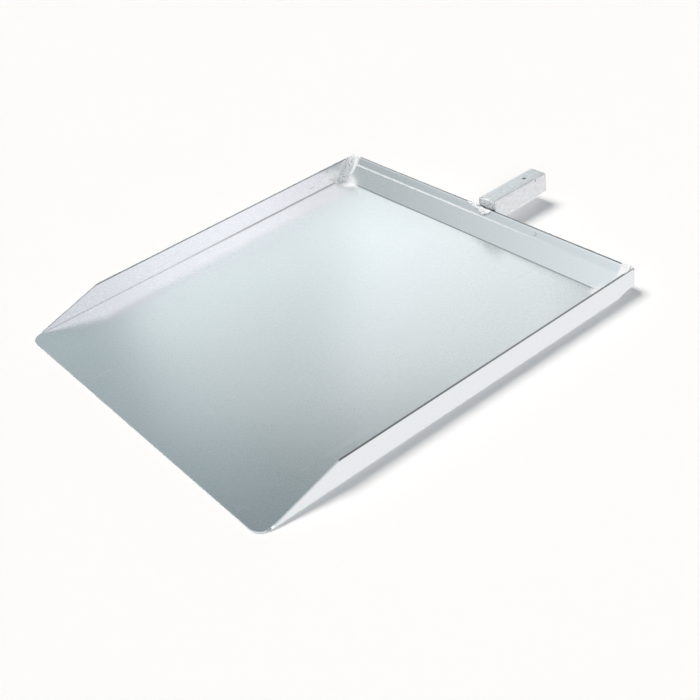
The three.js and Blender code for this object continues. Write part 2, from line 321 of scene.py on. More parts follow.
def rounded_line(corners, radius, arc_steps, straight_steps):
    """Middle line of a folded strip, as an array of (y, z).

    Each inner corner becomes an arc that touches both of its sides, and each straight run between two arcs is
    cut into equal steps. The arc's tangent length is the radius times the tangent of half the turn.
    """
    corners = np.asarray(corners, float)
    ways = np.diff(corners, axis=0)
    ways /= np.linalg.norm(ways, axis=1, keepdims=True)
    pieces = []
    start = corners[0]
    for k in range(1, len(corners) - 1):
        before, after = ways[k - 1], ways[k]
        turn = math.atan2(before[0] * after[1] - before[1] * after[0], before @ after)
        cut = radius * math.tan(abs(turn) / 2)
        enter = corners[k] - before * cut
        side = math.copysign(1, turn) * np.array([-before[1], before[0]])
        angles = np.linspace(0, abs(turn), arc_steps[k - 1] + 1)[:, None]
        arc = enter + radius * (np.sin(angles) * before + (1 - np.cos(angles)) * side)
        steps = np.linspace(0, 1, straight_steps[k - 1] + 1)[:-1, None]
        pieces += [start + (enter - start) * steps, arc[:-1]]
        start = arc[-1]
    steps = np.linspace(0, 1, straight_steps[-1] + 1)[:, None]
    pieces.append(start + (corners[-1] - start) * steps)
    return np.concatenate(pieces)


def back_corners(plan):
    """Corners of the back wall's middle line, as (y, z): fold, crease, rim and the flange's foot."""
    settings = plan.settings
    half = plan.middle
    slope = math.tan(settings.crease_slope)
    flange = PAN_HIGH.y - half
    fold = (PAN_HIGH.y - settings.back_depth + half * math.tan(settings.crease_slope / 2), half)
    rim_bend = plan.top - half - plan.radius
    rim = (flange, rim_bend + plan.radius * math.tan((math.pi / 2 + settings.crease_slope) / 2))
    crease_y = PAN_HIGH.y - settings.back_depth + settings.crease_run
    crease = (crease_y, rim[1] - (flange - crease_y) * slope)
    return fold, crease, rim, (flange, settings.flange_clearance)


def trough_rows(plan, fold_y):
    """Stations along the pan: close together round the front corners and the lip, wider over the floor."""
    corner_end = plan.front + plan.settings.front_corner
    parts = [
        np.linspace(plan.front, plan.lip_from, 9)[:-1],
        np.linspace(plan.lip_from, corner_end + 0.004, 5)[:-1],
        np.linspace(corner_end + 0.004, plan.lip_to, 23)[:-1],
        np.linspace(plan.lip_to, fold_y - 0.012, 34)[:-1],
        np.linspace(fold_y - 0.012, fold_y, 5),
    ]
    return np.concatenate(parts)


def side_columns(plan, edge, inner):
    """Runs of the columns outside the inner floor, one line for each row, out to the sheet's edge.

    The columns fall on the fold's arc as soon as the wall is high enough, and crowd together in front of it.
    """
    arc_from = np.minimum(plan.fold_start, inner + (edge - inner) * 0.9)
    arc_to = np.minimum(plan.fold_end, arc_from + (edge - arc_from) * 0.62)
    inner = np.full_like(edge, inner)
    columns = []
    for low, high, steps in (
        (inner, arc_from, FLAT_STEPS), (arc_from, arc_to, ARC_STEPS), (arc_to, edge, WALL_STEPS)
    ):
        share = np.arange(1, steps + 1) / steps
        columns.append(low[:, None] + (high - low)[:, None] * share)
    return np.concatenate(columns, 1)


def trough_grid(plan, fold_y):
    """Runs and places along the pan of the floor and both side walls, as two grids.

    Round a front corner the square cell (p, q) goes to the disc at p times the root of 1 - q squared / 2, and
    q times the root of 1 - p squared / 2, so that the outline is a true arc.
    """
    y = trough_rows(plan, fold_y)
    inner = PAN_HIGH.x - plan.settings.front_corner - 8 * MM
    edge = plan.edge_run(y)
    outside = side_columns(plan, edge, inner)
    floor = np.broadcast_to(np.linspace(-inner, inner, FLOOR_POINTS), (len(y), FLOOR_POINTS))
    run = np.concatenate([-outside[:, ::-1], floor, outside], 1)
    along = np.broadcast_to(y[:, None], run.shape)
    radius = plan.settings.front_corner
    start = PAN_HIGH.x - radius
    p = np.clip((np.abs(run) - start) / (edge - start)[:, None], 0, 1)
    q = np.clip((plan.front + radius - along) / radius, 0, 1)
    bent_run = np.sign(run) * (start + (edge - start)[:, None] * p * np.sqrt(1 - q * q / 2))
    bent_along = plan.front + radius - radius * q * np.sqrt(1 - p * p / 2)
    in_corner = (p > 0) & (q > 0)
    return np.where(in_corner, bent_run, run), np.where(in_corner, bent_along, along)


def back_wall(plan, corners, fold_y, start_x):
    """Places of the back wall: its folded profile carried across the pan, as lines of points.

    The lines spread a little over the flange. The two ends of the rim are ground round: they move forward by
    the radius less the root of the radius squared less the overhang squared.
    """
    settings = plan.settings
    crease = corners[1]
    line = rounded_line(
        [(fold_y, corners[0][1]), *corners], plan.radius, BACK_ARC_STEPS, BACK_STRAIGHT_STEPS
    )[1:]
    way = np.gradient(line, axis=0)
    way /= np.linalg.norm(way, axis=1, keepdims=True)
    normal = np.stack([-way[:, 1], way[:, 0]], -1)
    flange_spread = (PAN_HIGH.x - 0.1 * MM) / start_x[-1]
    spread = np.interp(np.arange(len(line)), [0, 6, 30, 38], [1, 1.0022, 1.0022, flange_spread])
    x = start_x * spread[:, None]
    y = np.broadcast_to(line[:, :1], x.shape).copy()
    z = np.broadcast_to(line[:, 1:], x.shape).copy()
    radius = settings.back_corner
    overhang = np.clip(np.abs(x) - (PAN_HIGH.x - radius), 0, radius * 0.98)
    y -= (radius - np.sqrt(radius**2 - overhang**2)) * (line[:, 0] > crease[0])[:, None]
    bowed = smooth_step(plan.wall_x - np.abs(x), 0.01, 0.08) * settings.waviness * 1.5
    places = np.stack([x, y, z], -1)
    sway = swell(places, 0.16, 9) * bowed
    places[..., 1] += sway * normal[:, :1]
    places[..., 2] += sway * normal[:, 1:]
    return places


def wall_end_runs(plan, fold_y, last_run):
    """Places along the pan and runs of the side walls behind the floor, where they reach on to the flange."""
    tail_end = fold_y + TAIL
    y = np.concatenate([
        np.linspace(fold_y, tail_end, 5)[1:],
        np.linspace(tail_end, PAN_HIGH.y - FLANGE_SETBACK, 9)[1:],
    ])
    low_run = plan.run_at_height(np.interp(y - fold_y, TAIL_PLACES, TAIL_HEIGHTS))
    share = (last_run[-SIDE_CELLS - 1:] - plan.fold_start) / (plan.full_run - plan.fold_start)
    return y, low_run[:, None] + (plan.full_run - low_run)[:, None] * share


def sheet_surface(plan):
    """Points and quads of the sheet's middle surface.

    The trough is a grid of rows along the pan by runs across it. Its last row is shared by the back wall and
    by the two ends of the side walls.
    """
    corners = back_corners(plan)
    fold, crease = corners[:2]
    first_slope = math.atan2(crease[1] - fold[1], crease[0] - fold[0])
    fold_y = fold[0] - plan.radius * math.tan(first_slope / 2)
    run, along = trough_grid(plan, fold_y)
    x, z = plan.across(run)
    places = np.stack([x, along, z], -1)
    flat = smooth_step(plan.fold_start - np.abs(run), 0.004, 0.05) * smooth_step(fold_y - along, 0.003, 0.05)
    places[..., 2] += plan.settings.waviness * swell(places * (1, 1, 0), 0.19, 4) * flat
    columns = run.shape[1]
    numbers = np.arange(run.size).reshape(run.shape)
    points, quads = [places.reshape(-1, 3)], [grid_quads(numbers)]

    floor_part = slice(SIDE_CELLS, columns - SIDE_CELLS)
    back_places = back_wall(plan, corners, fold_y, x[-1, floor_part])
    back_numbers = run.size + np.arange(back_places[..., 0].size).reshape(back_places.shape[:2])
    points.append(back_places.reshape(-1, 3))
    quads.append(grid_quads(np.concatenate([numbers[-1:, floor_part], back_numbers])))

    end_y, end_run = wall_end_runs(plan, fold_y, run[-1])
    total = sum(len(p) for p in points)
    for side in (-1, 1):
        end_x, end_z = plan.across(side * end_run)
        end_places = np.stack([end_x, np.broadcast_to(end_y[:, None], end_x.shape), end_z], -1)
        end_numbers = total + np.arange(end_x.size).reshape(end_x.shape)
        shared = numbers[-1, -SIDE_CELLS - 1:] if side > 0 else numbers[-1, SIDE_CELLS::-1]
        grid = np.concatenate([shared[None], end_numbers])
        points.append(end_places.reshape(-1, 3))
        quads.append(grid_quads(grid if side > 0 else grid[:, ::-1]))
        total += end_x.size
    return np.concatenate(points), np.concatenate(quads)


class MUDPAN_OT_folded_sheet(bpy.types.Operator):
    """Makes the folded sheet: floor, side walls, creased back wall, rim and flange"""

    bl_idname = "mudpan.folded_sheet"
    bl_label = "Folded Sheet"

    def execute(self, context):
        settings = context.scene.mud_pan_sheet
        piece = put_piece("folded_sheet", *sheet_surface(SheetPlan(settings)))
        thicken(piece, settings.thickness)
        use_finish(piece, rolled_sheet(settings), "rolled_sheet", "pan_sheet")
        return {"FINISHED"}


def thicken(piece, thickness):
    """Gives the middle surface its thickness, half to each side, and keeps its cut edges crisp."""
    solid = piece.modifiers.new("thickness", "SOLIDIFY")
    solid.thickness = thickness
    solid.offset = 0.0
    solid.use_even_offset = True
    solid.use_quality_normals = True
    made = bpy.data.meshes.new_from_object(piece.evaluated_get(bpy.context.evaluated_depsgraph_get()))
    piece.modifiers.clear()
    piece.data = made
    made.shade_smooth()
    made.set_sharp_from_angle(angle=SHARP_ANGLE)


# ---- the grip tube -------------------------------------------------------------------------------

HOLE_SIDE = 8  # cells along each side of the square block that holds the hole
BEFORE_HOLE = 9  # cells along the tube before that block
AFTER_HOLE = 4  # cells along the tube behind it
FIRST_HOLE_COLUMN = 1  # the block starts at this place of the top's line


def square_loop(half, radius, block):
    """A square with round corners as an array of (x, z), clockwise from the top's left.

    Each side is a line of places from minus to plus its flat half, and each corner a quarter arc. The top
    has its places on the block round the hole.
    """
    flat = half - radius
    top = np.concatenate([[-flat], np.linspace(-block, block, HOLE_SIDE + 1), [flat]])
    plain = np.linspace(-flat, flat, 6)
    arc = np.linspace(0, math.pi / 2, 6)[1:-1]
    lines = []
    for turn, places in zip(range(4), (top, plain, plain, plain)):
        side = np.stack([places, np.full(len(places), half)], -1)
        corner = np.stack([flat + radius * np.sin(arc), flat + radius * np.cos(arc)], -1)
        line = np.concatenate([side, corner])
        c, s = round(math.cos(turn * math.pi / 2)), round(math.sin(turn * math.pi / 2))
        lines.append(line @ np.array([[c, -s], [s, c]]))
    return np.concatenate(lines)


def tube_shell(settings):
    """Points and quads of the tube, closed on itself.

    The path in (place along, depth into the wall) is a long rounded rectangle: out along the outside, round
    the open end, back along the bore and round the near end. Depth moves each point from the outer square
    loop towards the inner one. A square block of cells in the top wall is left out. Rings that go from its
    outline to a circle, down through the wall and out again fill it round the hole.
    """
    centre_x, centre_z = (TUBE_LOW.x + TUBE_HIGH.x) / 2, (TUBE_LOW.z + TUBE_HIGH.z) / 2
    half = (TUBE_HIGH.x - TUBE_LOW.x) / 2
    wall, soft, block = settings.wall, settings.rim_softness, settings.hole_radius * 2
    outer = square_loop(half, settings.corner, block)
    inner = square_loop(half - wall, settings.corner / 2, block)
    hole_y = TUBE_HIGH.y - settings.hole_inset
    straight = np.concatenate([
        np.linspace(TUBE_LOW.y + soft, hole_y - block, BEFORE_HOLE + 1)[:-1],
        np.linspace(hole_y - block, hole_y + block, HOLE_SIDE + 1),
        np.linspace(hole_y + block, TUBE_HIGH.y - soft, AFTER_HOLE + 1)[1:],
    ])
    quarter = np.linspace(0, math.pi / 2, 5)[1:]
    bend = np.stack([soft * np.sin(quarter), soft * (1 - np.cos(quarter))], -1)
    out_side = np.stack([straight, np.zeros(len(straight))], -1)
    open_end = bend + (TUBE_HIGH.y - soft, 0)
    open_back = np.stack([open_end[::-1, 0], wall - open_end[::-1, 1]], -1)
    bore_side = np.stack([straight[::-1], np.full(len(straight), wall)], -1)
    near_back = np.stack([TUBE_LOW.y + TUBE_HIGH.y - open_back[::-1, 0], open_back[::-1, 1]], -1)
    near_end = np.stack([TUBE_LOW.y + TUBE_HIGH.y - open_end[::-1, 0], open_end[::-1, 1]], -1)
    path = np.concatenate([out_side, open_end, open_back[:-1], bore_side, near_back[:-1], near_end[:-1]])
    share = (path[:, 1] / wall)[:, None, None]
    loops = outer * (1 - share) + inner * share
    y = np.broadcast_to(path[:, :1], loops.shape[:2])
    places = np.stack([loops[..., 0] + centre_x, y, loops[..., 1] + centre_z], -1)
    count, around = loops.shape[:2]
    numbers = np.arange(count * around).reshape(count, around)
    cells = grid_quads(wrapped(wrapped(numbers, 0), 1)).reshape(count, around, 4)
    keep = np.ones((count, around), bool)
    bore_first = len(out_side) + len(open_end) + len(open_back) - 1 + AFTER_HOLE
    columns = slice(FIRST_HOLE_COLUMN, FIRST_HOLE_COLUMN + HOLE_SIDE)
    for first in (BEFORE_HOLE, bore_first):
        keep[first:first + HOLE_SIDE, columns] = False
    block_columns = numbers[:, FIRST_HOLE_COLUMN:FIRST_HOLE_COLUMN + HOLE_SIDE + 1]
    outside = outline_of(block_columns[BEFORE_HOLE:BEFORE_HOLE + HOLE_SIDE + 1])
    inside = outline_of(block_columns[bore_first:bore_first + HOLE_SIDE + 1][::-1])
    square = places.reshape(-1, 3)[outside]
    turns = np.arctan2(square[:, 1] - hole_y, square[:, 0] - centre_x)
    steps = np.linspace(0, math.pi / 2, 4)
    radii = settings.hole_radius + soft * (1 - np.sin(steps))
    depths = soft * (1 - np.cos(steps))
    radii, depths = np.concatenate([radii, radii[::-1]]), np.concatenate([depths, wall - depths[::-1]])
    circles = np.stack([
        centre_x + radii[:, None] * np.cos(turns),
        hole_y + radii[:, None] * np.sin(turns),
        np.broadcast_to(TUBE_HIGH.z - depths[:, None], (len(radii), len(turns))),
    ], -1)
    spread = np.array([0.35, 0.7])[:, None, None]
    above = square + (circles[0] - square) * spread
    below = (square - (0, 0, wall)) + (circles[-1] - square + (0, 0, wall)) * spread[::-1]
    rings = np.concatenate([above, circles, below])
    ring_numbers = count * around + np.arange(rings.shape[0] * rings.shape[1]).reshape(rings.shape[:2])
    ring_numbers = np.concatenate([outside[None], ring_numbers, inside[None]])
    hole_cells = grid_quads(wrapped(ring_numbers, 1))
    points = np.concatenate([places.reshape(-1, 3), rings.reshape(-1, 3)])
    return points, cells[keep], hole_cells


def outline_of(block):
    """The numbers round the outside of a square block, in order."""
    return np.concatenate([block[0, :-1], block[:-1, -1], block[-1, :0:-1], block[:0:-1, 0]])


class MUDPAN_OT_grip_tube(bpy.types.Operator):
    """Makes the square grip tube with its open end and the hole in its top face"""

    bl_idname = "mudpan.grip_tube"
    bl_label = "Grip Tube"

    def execute(self, context):
        settings = context.scene.mud_pan_grip
        points, cells, hole_cells = tube_shell(settings)
        no_triangles = np.zeros((0, 3), int)
        cells, _ = facing_out(points, cells, no_triangles)
        piece = put_piece("grip_tube", points, np.concatenate([cells, hole_cells]))
        align_faces(piece)
        use_finish(piece, extruded_tube(settings), "extruded_tube", "handle_tube")
        return {"FINISHED"}


def align_faces(piece):
    """Turns every face of a closed shell to point outwards."""
    shell = bmesh.new()
    shell.from_mesh(piece.data)
    bmesh.ops.recalc_face_normals(shell, faces=shell.faces)
    shell.to_mesh(piece.data)
    shell.free()
    piece.data.shade_smooth()
    piece.data.set_sharp_from_angle(angle=SHARP_ANGLE)


# ---- weld beads ----------------------------------------------------------------------------------


BEAD_STEP = 0.35 * MM  # from one ring of a bead to the next
BEAD_POINTS = 28  # points round each ring


def bead_shell(path, outward, half_width, half_height, settings, seed, roughness=1.0, ripple=None):
    """A closed bead carried along a path.

    Each ring is an ellipse: the half width times the cosine across the bead, and the half height times the
    sine along the outward way. Ripples lean back over the crown as arcs one pitch apart, and soft noise
    makes the bead uneven. Towards both ends the ring closes as the root of a circle.
    """
    path = np.asarray(path, float)
    steps = np.linalg.norm(np.diff(path, axis=0), axis=1)
    run = np.concatenate([[0], np.cumsum(steps)])
    count = max(int(run[-1] / BEAD_STEP), 12)
    at = np.linspace(0, run[-1], count)
    line = np.stack([np.interp(at, run, path[:, k]) for k in range(3)], -1)
    way = np.gradient(line, axis=0)
    kernel = np.ones(9) / 9
    way = np.stack([np.convolve(np.pad(way[:, k], 4, "edge"), kernel, "valid") for k in range(3)], -1)
    way /= np.linalg.norm(way, axis=1, keepdims=True)
    out = np.broadcast_to(np.asarray(outward, float), path.shape)
    out = np.stack([np.interp(at, run, out[:, k]) for k in range(3)], -1)
    out -= way * np.einsum("ij,ij->i", out, way)[:, None]
    out /= np.linalg.norm(out, axis=1, keepdims=True)
    side = np.cross(way, out)
    wide = np.interp(at, np.linspace(0, run[-1], np.size(half_width)), np.atleast_1d(half_width))
    high = np.interp(at, np.linspace(0, run[-1], np.size(half_height)), np.atleast_1d(half_height))
    from_end = np.minimum(at, run[-1] - at) / np.minimum(wide, run[-1] / 2)
    closing = np.sqrt(np.clip(1 - (1 - from_end).clip(0) ** 2, 0.0004, 1))
    theta = np.linspace(0, 2 * np.pi, BEAD_POINTS, endpoint=False)
    cosine, sine = np.cos(theta), np.sin(theta)
    height = settings.ripple_height if ripple is None else ripple
    phase = at[:, None] / settings.ripple_pitch + 0.45 * sine.clip(0)
    bump = height * (0.5 + 0.5 * np.cos(2 * np.pi * phase)) * sine.clip(0)
    ring = (wide * closing)[:, None, None] * cosine[None, :, None] * side[:, None, :]
    ring = ring + (high * closing)[:, None, None] * ((1 + bump) * sine)[..., None] * out[:, None, :]
    rings = line[:, None, :] + ring
    uneven = swell(rings, 3.1 * MM, seed) * 0.07 + swell(rings, 1.3 * MM, seed + 1) * 0.035
    rings = line[:, None, :] + ring * (1 + roughness * uneven)[..., None]
    return shell_from_rings(rings)


def corner_bead(side, settings, plan):
    """The dressed bead up one back corner, side -1 or 1.

    The path rises from the floor's corner along the meeting line of side wall and back wall, bends at the
    crease, and turns over the rim towards the ground corner. It faces the middle of the pan. A second and
    thinner bead lies along the end of the rim.
    """
    fold, crease, rim, _ = back_corners(plan)
    inner_x = plan.wall_x - plan.middle
    lift = settings.corner_width * 0.31
    top_y = rim[0] - plan.radius
    places = np.array([
        (inner_x - 1.5 * lift, fold[0] - 7.0 * MM, plan.middle * 2 - 0.2 * MM),
        (inner_x - 1.2 * lift, fold[0] - 3.0 * MM, plan.middle * 2 + 1.6 * MM),
        (inner_x - 1.0 * lift, fold[0] + 0.4 * MM, 7.6 * MM),
        (inner_x - 0.95 * lift, crease[0] - 3.4 * MM, crease[1] + 3.2 * MM),
        (inner_x - 0.85 * lift, top_y - 2.4 * MM, plan.top - 0.9 * MM),
        (inner_x - 0.6 * lift, rim[0] - 1.4 * MM, plan.top - 0.4 * MM),
        (inner_x + 0.1 * MM, rim[0] - 0.2 * MM, plan.top - 1.6 * MM),
    ])
    ways = np.array([
        (-0.3, -0.2, 0.9), (-0.5, -0.5, 0.7), (-0.7, -0.5, 0.5), (-0.7, -0.5, 0.5), (-0.5, -0.3, 0.8),
        (-0.2, -0.1, 1.0), (0.3, 0.4, 0.8),
    ])
    turn = np.array([side, 1, 1])
    wide = settings.corner_width / 2 * np.array([1.1, 1.0, 1.0, 0.95, 0.9, 0.7, 0.45])
    high = np.array([0.6, 1.4, 1.8, 1.8, 1.3, 0.9, 0.8]) * MM
    rise = bead_shell(places * turn, ways * turn, wide, high, settings, 20 + side, roughness=1.6, ripple=0.05)
    along_rim = np.array([
        (inner_x - 15 * MM, rim[0] - 1.5 * MM, plan.top - 0.5 * MM),
        (inner_x - 6 * MM, rim[0] - 1.7 * MM, plan.top - 0.4 * MM),
        (inner_x + 0.6 * MM, rim[0] - 1.0 * MM, plan.top - 0.9 * MM),
    ])
    thin = np.array([0.5, 0.75, 0.85, 0.8]) * MM
    cap = bead_shell(along_rim * turn, (0, -0.15, 1), 2.3 * MM, thin, settings, 24 + side, roughness=1.8)
    return joined([rise, cap])


class MUDPAN_OT_corner_welds(bpy.types.Operator):
    """Makes the two dressed beads in the back corners"""

    bl_idname = "mudpan.corner_welds"
    bl_label = "Corner Welds"

    def execute(self, context):
        settings = context.scene.mud_pan_weld
        plan = SheetPlan(context.scene.mud_pan_sheet)
        finish = dressed_weld(settings)
        for side, word in ((-1, "left"), (1, "right")):
            piece = put_piece(f"{word}_corner_bead", *corner_bead(side, settings, plan))
            use_finish(piece, finish, "dressed_weld", f"back_{word}_corner_weld")
        return {"FINISHED"}


def end_plate():
    """The plate of weld metal that closes the tube's near end above the rim.

    Each ring is a square with softened corners, a cosine and a sine raised to the power 0.3. The rings close
    on the front and back faces: their size follows a cosine to the power 0.45, their place a sine to 0.7.
    """
    middle_x, middle_z = (TUBE_LOW.x + TUBE_HIGH.x) / 2, (PAN_HIGH.z + TUBE_HIGH.z) / 2
    middle = np.array([middle_x, TUBE_LOW.y - 0.6 * MM, middle_z - 0.8 * MM])
    half = np.array([TUBE_HIGH.x - middle_x - 1.1 * MM, 1.6 * MM, TUBE_HIGH.z - middle_z])
    theta = np.linspace(0, 2 * np.pi, 48, endpoint=False)
    lift = np.linspace(-np.pi / 2, np.pi / 2, 16)[1:-1]

    def power(wave, exponent):
        return np.sign(wave) * np.abs(wave) ** exponent

    rings = np.stack([
        power(np.cos(lift), 0.45)[:, None] * power(np.cos(theta), 0.3),
        np.broadcast_to(power(np.sin(lift), 0.7)[:, None], (len(lift), len(theta))),
        power(np.cos(lift), 0.45)[:, None] * power(np.sin(theta), 0.3),
    ], -1) * half + middle
    rings[..., 1] += swell(rings, 4 * MM, 31) * 0.12 * MM
    return shell_from_rings(rings)


def rim_bead(settings):
    """The beads at the near end of the tube: a ring over its edges, and a wide bead across the rim."""
    low_x, high_x = TUBE_LOW.x, TUBE_HIGH.x
    y = TUBE_LOW.y - 0.2 * MM
    top = TUBE_HIGH.z - 0.9 * MM
    foot = PAN_HIGH.z - 1.0 * MM
    ring = np.array([
        (low_x + 0.5 * MM, y, foot),
        (low_x + 0.5 * MM, y, top - 2 * MM),
        (low_x + 1.1 * MM, y, top - 0.6 * MM),
        (low_x + 2.5 * MM, y, top), (high_x - 2.5 * MM, y, top), (high_x - 1.1 * MM, y, top - 0.6 * MM),
        (high_x - 0.5 * MM, y, top - 2 * MM), (high_x - 0.5 * MM, y, foot),
    ])
    radius = settings.ring_radius
    ring_shell = bead_shell(ring, (0, -1, 0), radius, radius * 0.85, settings, 41, roughness=1.6)
    shoulder_y, shoulder_z = PAN_HIGH.y - 5.6 * MM, PAN_HIGH.z - 1.2 * MM
    band = np.array([
        (low_x - 18 * MM, shoulder_y + 1.6 * MM, shoulder_z + 0.9 * MM),
        (low_x - 8 * MM, shoulder_y + 0.9 * MM, shoulder_z + 0.5 * MM),
        (low_x + 4 * MM, shoulder_y, shoulder_z),
        (low_x + 12 * MM, shoulder_y - 1.8 * MM, shoulder_z - 2.0 * MM),
        (high_x - 7 * MM, shoulder_y - 0.6 * MM, shoulder_z - 0.6 * MM),
        (high_x - 2 * MM, shoulder_y + 0.8 * MM, shoulder_z + 0.4 * MM),
    ])
    lean = np.array([(0, -0.55, 0.85)] * len(band))
    wide = settings.rim_radius * np.array([0.35, 0.6, 0.8, 0.95, 1.3, 1.2, 0.7])
    high = settings.rim_radius * np.array([0.2, 0.3, 0.42, 0.5, 0.55, 0.5, 0.4])
    band_shell = bead_shell(band, lean, wide, high, settings, 43, roughness=1.8)
    return joined([end_plate(), ring_shell, band_shell])


def flange_bead(start, end, lean, settings, seed):
    """A straight rippled bead between the tube and the flange, leaning away from both."""
    radius = settings.side_radius
    return bead_shell(np.linspace(start, end, 8), lean, radius, radius * 0.62, settings, seed)


class MUDPAN_OT_grip_welds(bpy.types.Operator):
    """Makes the beads that join the grip tube to the rim and the flange"""

    bl_idname = "mudpan.grip_welds"
    bl_label = "Grip Welds"

    def execute(self, context):
        settings = context.scene.mud_pan_weld
        finish = weld_bead(settings)
        piece = put_piece("rim_bead", *rim_bead(settings))
        use_finish(piece, finish, "weld_bead", "handle_top_weld")
        inset = 0.9 * MM
        flange = PAN_HIGH.y
        for name, node, side, seed in (
            ("left_grip_bead", "handle_left_weld", -1, 51), ("right_grip_bead", "handle_right_weld", 1, 53)
        ):
            low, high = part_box(node)
            x = TUBE_HIGH.x + inset if side > 0 else TUBE_LOW.x - inset
            start, end = (x, flange + inset, low.z + 0.4 * MM), (x, flange + inset, high.z)
            shell = flange_bead(start, end, (side, 1, 0), settings, seed)
            use_finish(put_piece(name, *shell), finish, "weld_bead", node)
        low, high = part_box("handle_bottom_weld")
        z = TUBE_LOW.z - inset
        start, end = (low.x, flange + inset, z), (high.x, flange + inset, z)
        shell = flange_bead(start, end, (0, 1, -1), settings, 55)
        use_finish(put_piece("bottom_grip_bead", *shell), finish, "weld_bead", "handle_bottom_weld")
        return {"FINISHED"}


# ---- materials -----------------------------------------------------------------------------------


class Value:
    """A number that comes out of a node. Arithmetic on it adds Math nodes."""

    def __init__(self, graph, socket):
        self.graph = graph
        self.socket = socket

    def math(self, operation, *values):
        return self.graph.add("ShaderNodeMath", {"operation": operation}, dict(enumerate(values)))

    def __add__(self, other):
        return self.math("ADD", self, other)

    def __sub__(self, other):
        return self.math("SUBTRACT", self, other)

    def __mul__(self, other):
        return self.math("MULTIPLY", self, other)

    def __pow__(self, other):
        return self.math("POWER", self, other)

    def __rsub__(self, other):
        return self.math("SUBTRACT", other, self)

    def __abs__(self):
        return self.math("ABSOLUTE", self)

    __radd__ = __add__

    def most(self, other):
        return self.math("MAXIMUM", self, other)

    def ramp(self, low, high):
        """Goes smoothly from 0 at low to 1 at high."""
        sockets = {"Value": self, "From Min": low, "From Max": high}
        return self.graph.add("ShaderNodeMapRange", {"interpolation_type": "SMOOTHSTEP"}, sockets)


class Graph:
    """The nodes of a material or of the world."""

    def __init__(self, tree):
        self.tree = tree
        self.tree.nodes.clear()

    def add(self, kind, settings, sockets, out=0):
        """Adds a node from its type, settings, and values or links of its sockets, and gives an output."""
        node = self.tree.nodes.new(kind)
        for name, value in settings.items():
            setattr(node, name, value)
        for name, value in sockets.items():
            if isinstance(value, Value):
                self.tree.links.new(value.socket, node.inputs[name])
            else:
                node.inputs[name].default_value = value
        return Value(self, node.outputs[out])

    def end(self, kind, surface):
        """Joins a surface to the output node of its kind."""
        output = self.tree.nodes.new(kind)
        self.tree.links.new(surface.socket, output.inputs["Surface"])

    def place(self):
        return self.add("ShaderNodeTexCoord", {}, {}, "Object")

    def parts(self, vector):
        """The three numbers of a vector."""
        split = self.add("ShaderNodeSeparateXYZ", {}, {"Vector": vector})
        outputs = split.socket.node.outputs
        return tuple(Value(self, outputs[k]) for k in range(3))

    def scaled(self, vector, *scale):
        return self.add("ShaderNodeMapping", {}, {"Vector": vector, "Scale": scale})

    def noise(self, vector, scale, detail=2.0, roughness=0.5):
        sockets = {"Vector": vector, "Scale": scale, "Detail": detail, "Roughness": roughness}
        return self.add("ShaderNodeTexNoise", {}, sockets)

    def blend(self, share, first, second):
        """A colour between two colours."""
        sockets = {0: share, 6: first, 7: second}
        return self.add("ShaderNodeMix", {"data_type": "RGBA"}, sockets, 2)

    def bump(self, height, distance, strength=1.0, normal=None):
        sockets = {"Height": height, "Distance": distance, "Strength": strength}
        if normal is not None:
            sockets["Normal"] = normal
        return self.add("ShaderNodeBump", {}, sockets)

    def band(self, value, middle, half, soft):
        """1 within half of the middle, and smoothly 0 past the soft edge."""
        return abs(value - middle).ramp(half + soft, half)

    def joined(self, x, y, z):
        """A vector from three numbers."""
        return self.add("ShaderNodeCombineXYZ", {}, {0: x, 1: y, 2: z})

    def near(self, vector, centre, radii):
        """Distance from a centre, with each axis divided by its radius."""
        moved = self.add("ShaderNodeVectorMath", {"operation": "SUBTRACT"}, {0: vector, 1: centre})
        shrunk = self.add("ShaderNodeVectorMath", {"operation": "DIVIDE"}, {0: moved, 1: radii})
        return self.add("ShaderNodeVectorMath", {"operation": "LENGTH"}, {0: shrunk}, "Value")


def new_material(name):
    """A new material and the graph of its nodes."""
    material = bpy.data.materials.new(name)
    material.use_nodes = True
    return material, Graph(material.node_tree)


def metal(name, sockets_of):
    """A material whose surface is one metal shader. sockets_of(graph) gives the shader's sockets."""
    material, graph = new_material(name)
    sockets = {"Metallic": 1.0, **sockets_of(graph)}
    graph.end("ShaderNodeOutputMaterial", graph.add("ShaderNodeBsdfPrincipled", {}, sockets))
    return material


def shade(tint, factor):
    """A colour times a factor, with its alpha."""
    return (*(channel * factor for channel in tint), 1.0)


# Marks on the sheet: middle and size of a bent nick in the back wall and a stroke on the left wall.
NICK_PLACE = (0.1007, 0.201, 0.0233)
NICK_SIZE = (3.4 * MM, 2.0 * MM, 2.6 * MM)
STROKE_PLACE = (-0.2405, 0.1287, 0.0112)
STROKE_SIZE = (2.0 * MM, 5.2 * MM, 1.2 * MM)
CORNER_LEAN = 1.04  # run of the back wall for each unit of its height, beside the corner welds
# Colour of the bright ground metal round the corner welds, also used for the painted highlight along the
# crease.
GROUND_METAL_AND_HIGHLIGHT_TINT = (0.97, 0.97, 0.965, 1.0)
# Painted shade: colour of the floor's front right corner, darker in place of a darker reflection there.
PAINTED_CORNER_SHADE_TINT = (0.66, 0.73, 0.75, 1.0)


